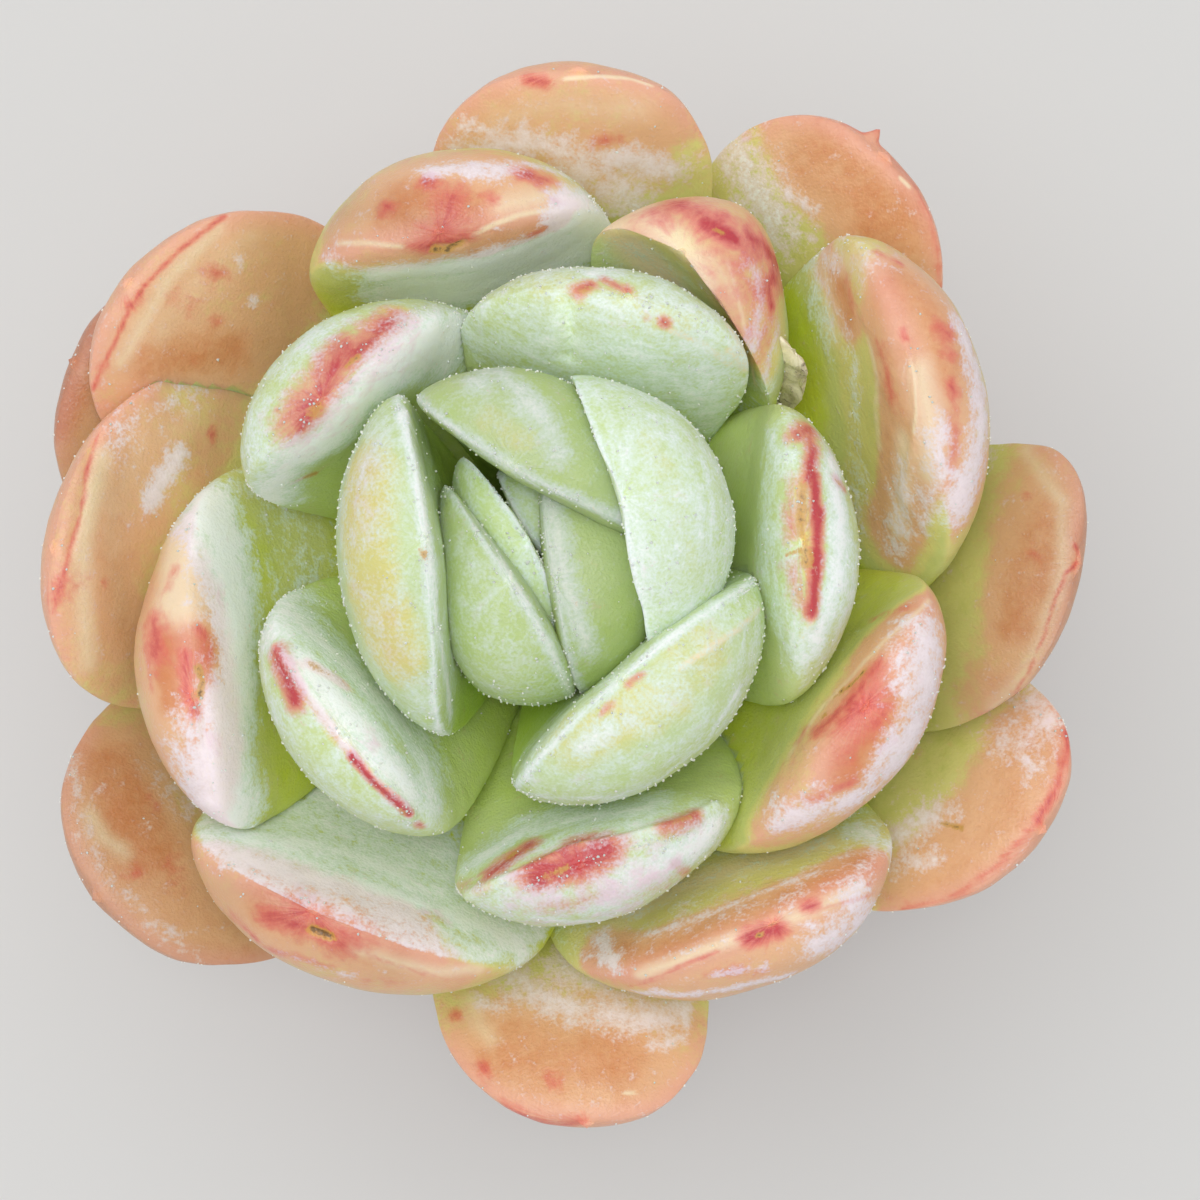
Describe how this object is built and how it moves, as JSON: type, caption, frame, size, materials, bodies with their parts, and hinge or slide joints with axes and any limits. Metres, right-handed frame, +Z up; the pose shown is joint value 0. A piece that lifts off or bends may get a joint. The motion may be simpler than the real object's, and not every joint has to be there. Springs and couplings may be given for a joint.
{
  "type": "potted echeveria",
  "caption": "Potted echeveria: a chunky rosette of plump, rounded green and peach leaves with pink blushes, on a short stem in gritty soil in a plain clay pot.",
  "frame": {"origin": "centre of the pot's base, on the surface it stands on", "axes": "+Z up along the pot's axis, +Y towards the top of the picture, which looks straight down on the rosette"},
  "size_m": [0.07, 0.0718, 0.0865],
  "materials": {
    "clay": "unglazed, matt, a little dusty",
    "soil": "gritty compost",
    "stem": "pale corky bark with leaf scars",
    "leaf_green": "plump green leaf with a pale wax bloom",
    "leaf_peach": "plump leaf, green at its base and peach to pink at its tip, with a broken wax bloom",
    "dry_leaf": "dry, papery"
  },
  "bodies": {
    "root": {"pot": "clay", "soil": "soil", "stem": "stem", "heart_bud": "leaf_green", "dried_leaf": "dry_leaf", "leaf_01": "leaf_green", "leaf_02": "leaf_green", "leaf_03": "leaf_green", "leaf_04": "leaf_green", "leaf_05": "leaf_green", "leaf_06": "leaf_green", "leaf_07": "leaf_green", "leaf_08": "leaf_green", "leaf_09": "leaf_peach", "leaf_10": "leaf_peach", "leaf_11": "leaf_peach", "leaf_12": "leaf_peach", "leaf_13": "leaf_peach", "leaf_14": "leaf_peach", "leaf_15": "leaf_peach", "leaf_16": "leaf_peach", "leaf_17": "leaf_peach", "leaf_18": "leaf_peach", "leaf_19": "leaf_peach", "leaf_20": "leaf_peach", "leaf_21": "leaf_peach", "leaf_22": "leaf_peach", "leaf_23": "leaf_peach", "leaf_24": "leaf_peach", "leaf_25": "leaf_peach", "leaf_26": "leaf_peach", "leaf_27": "leaf_peach", "leaf_28": "leaf_peach", "leaf_29": "leaf_peach"}
  },
  "joints": []
}
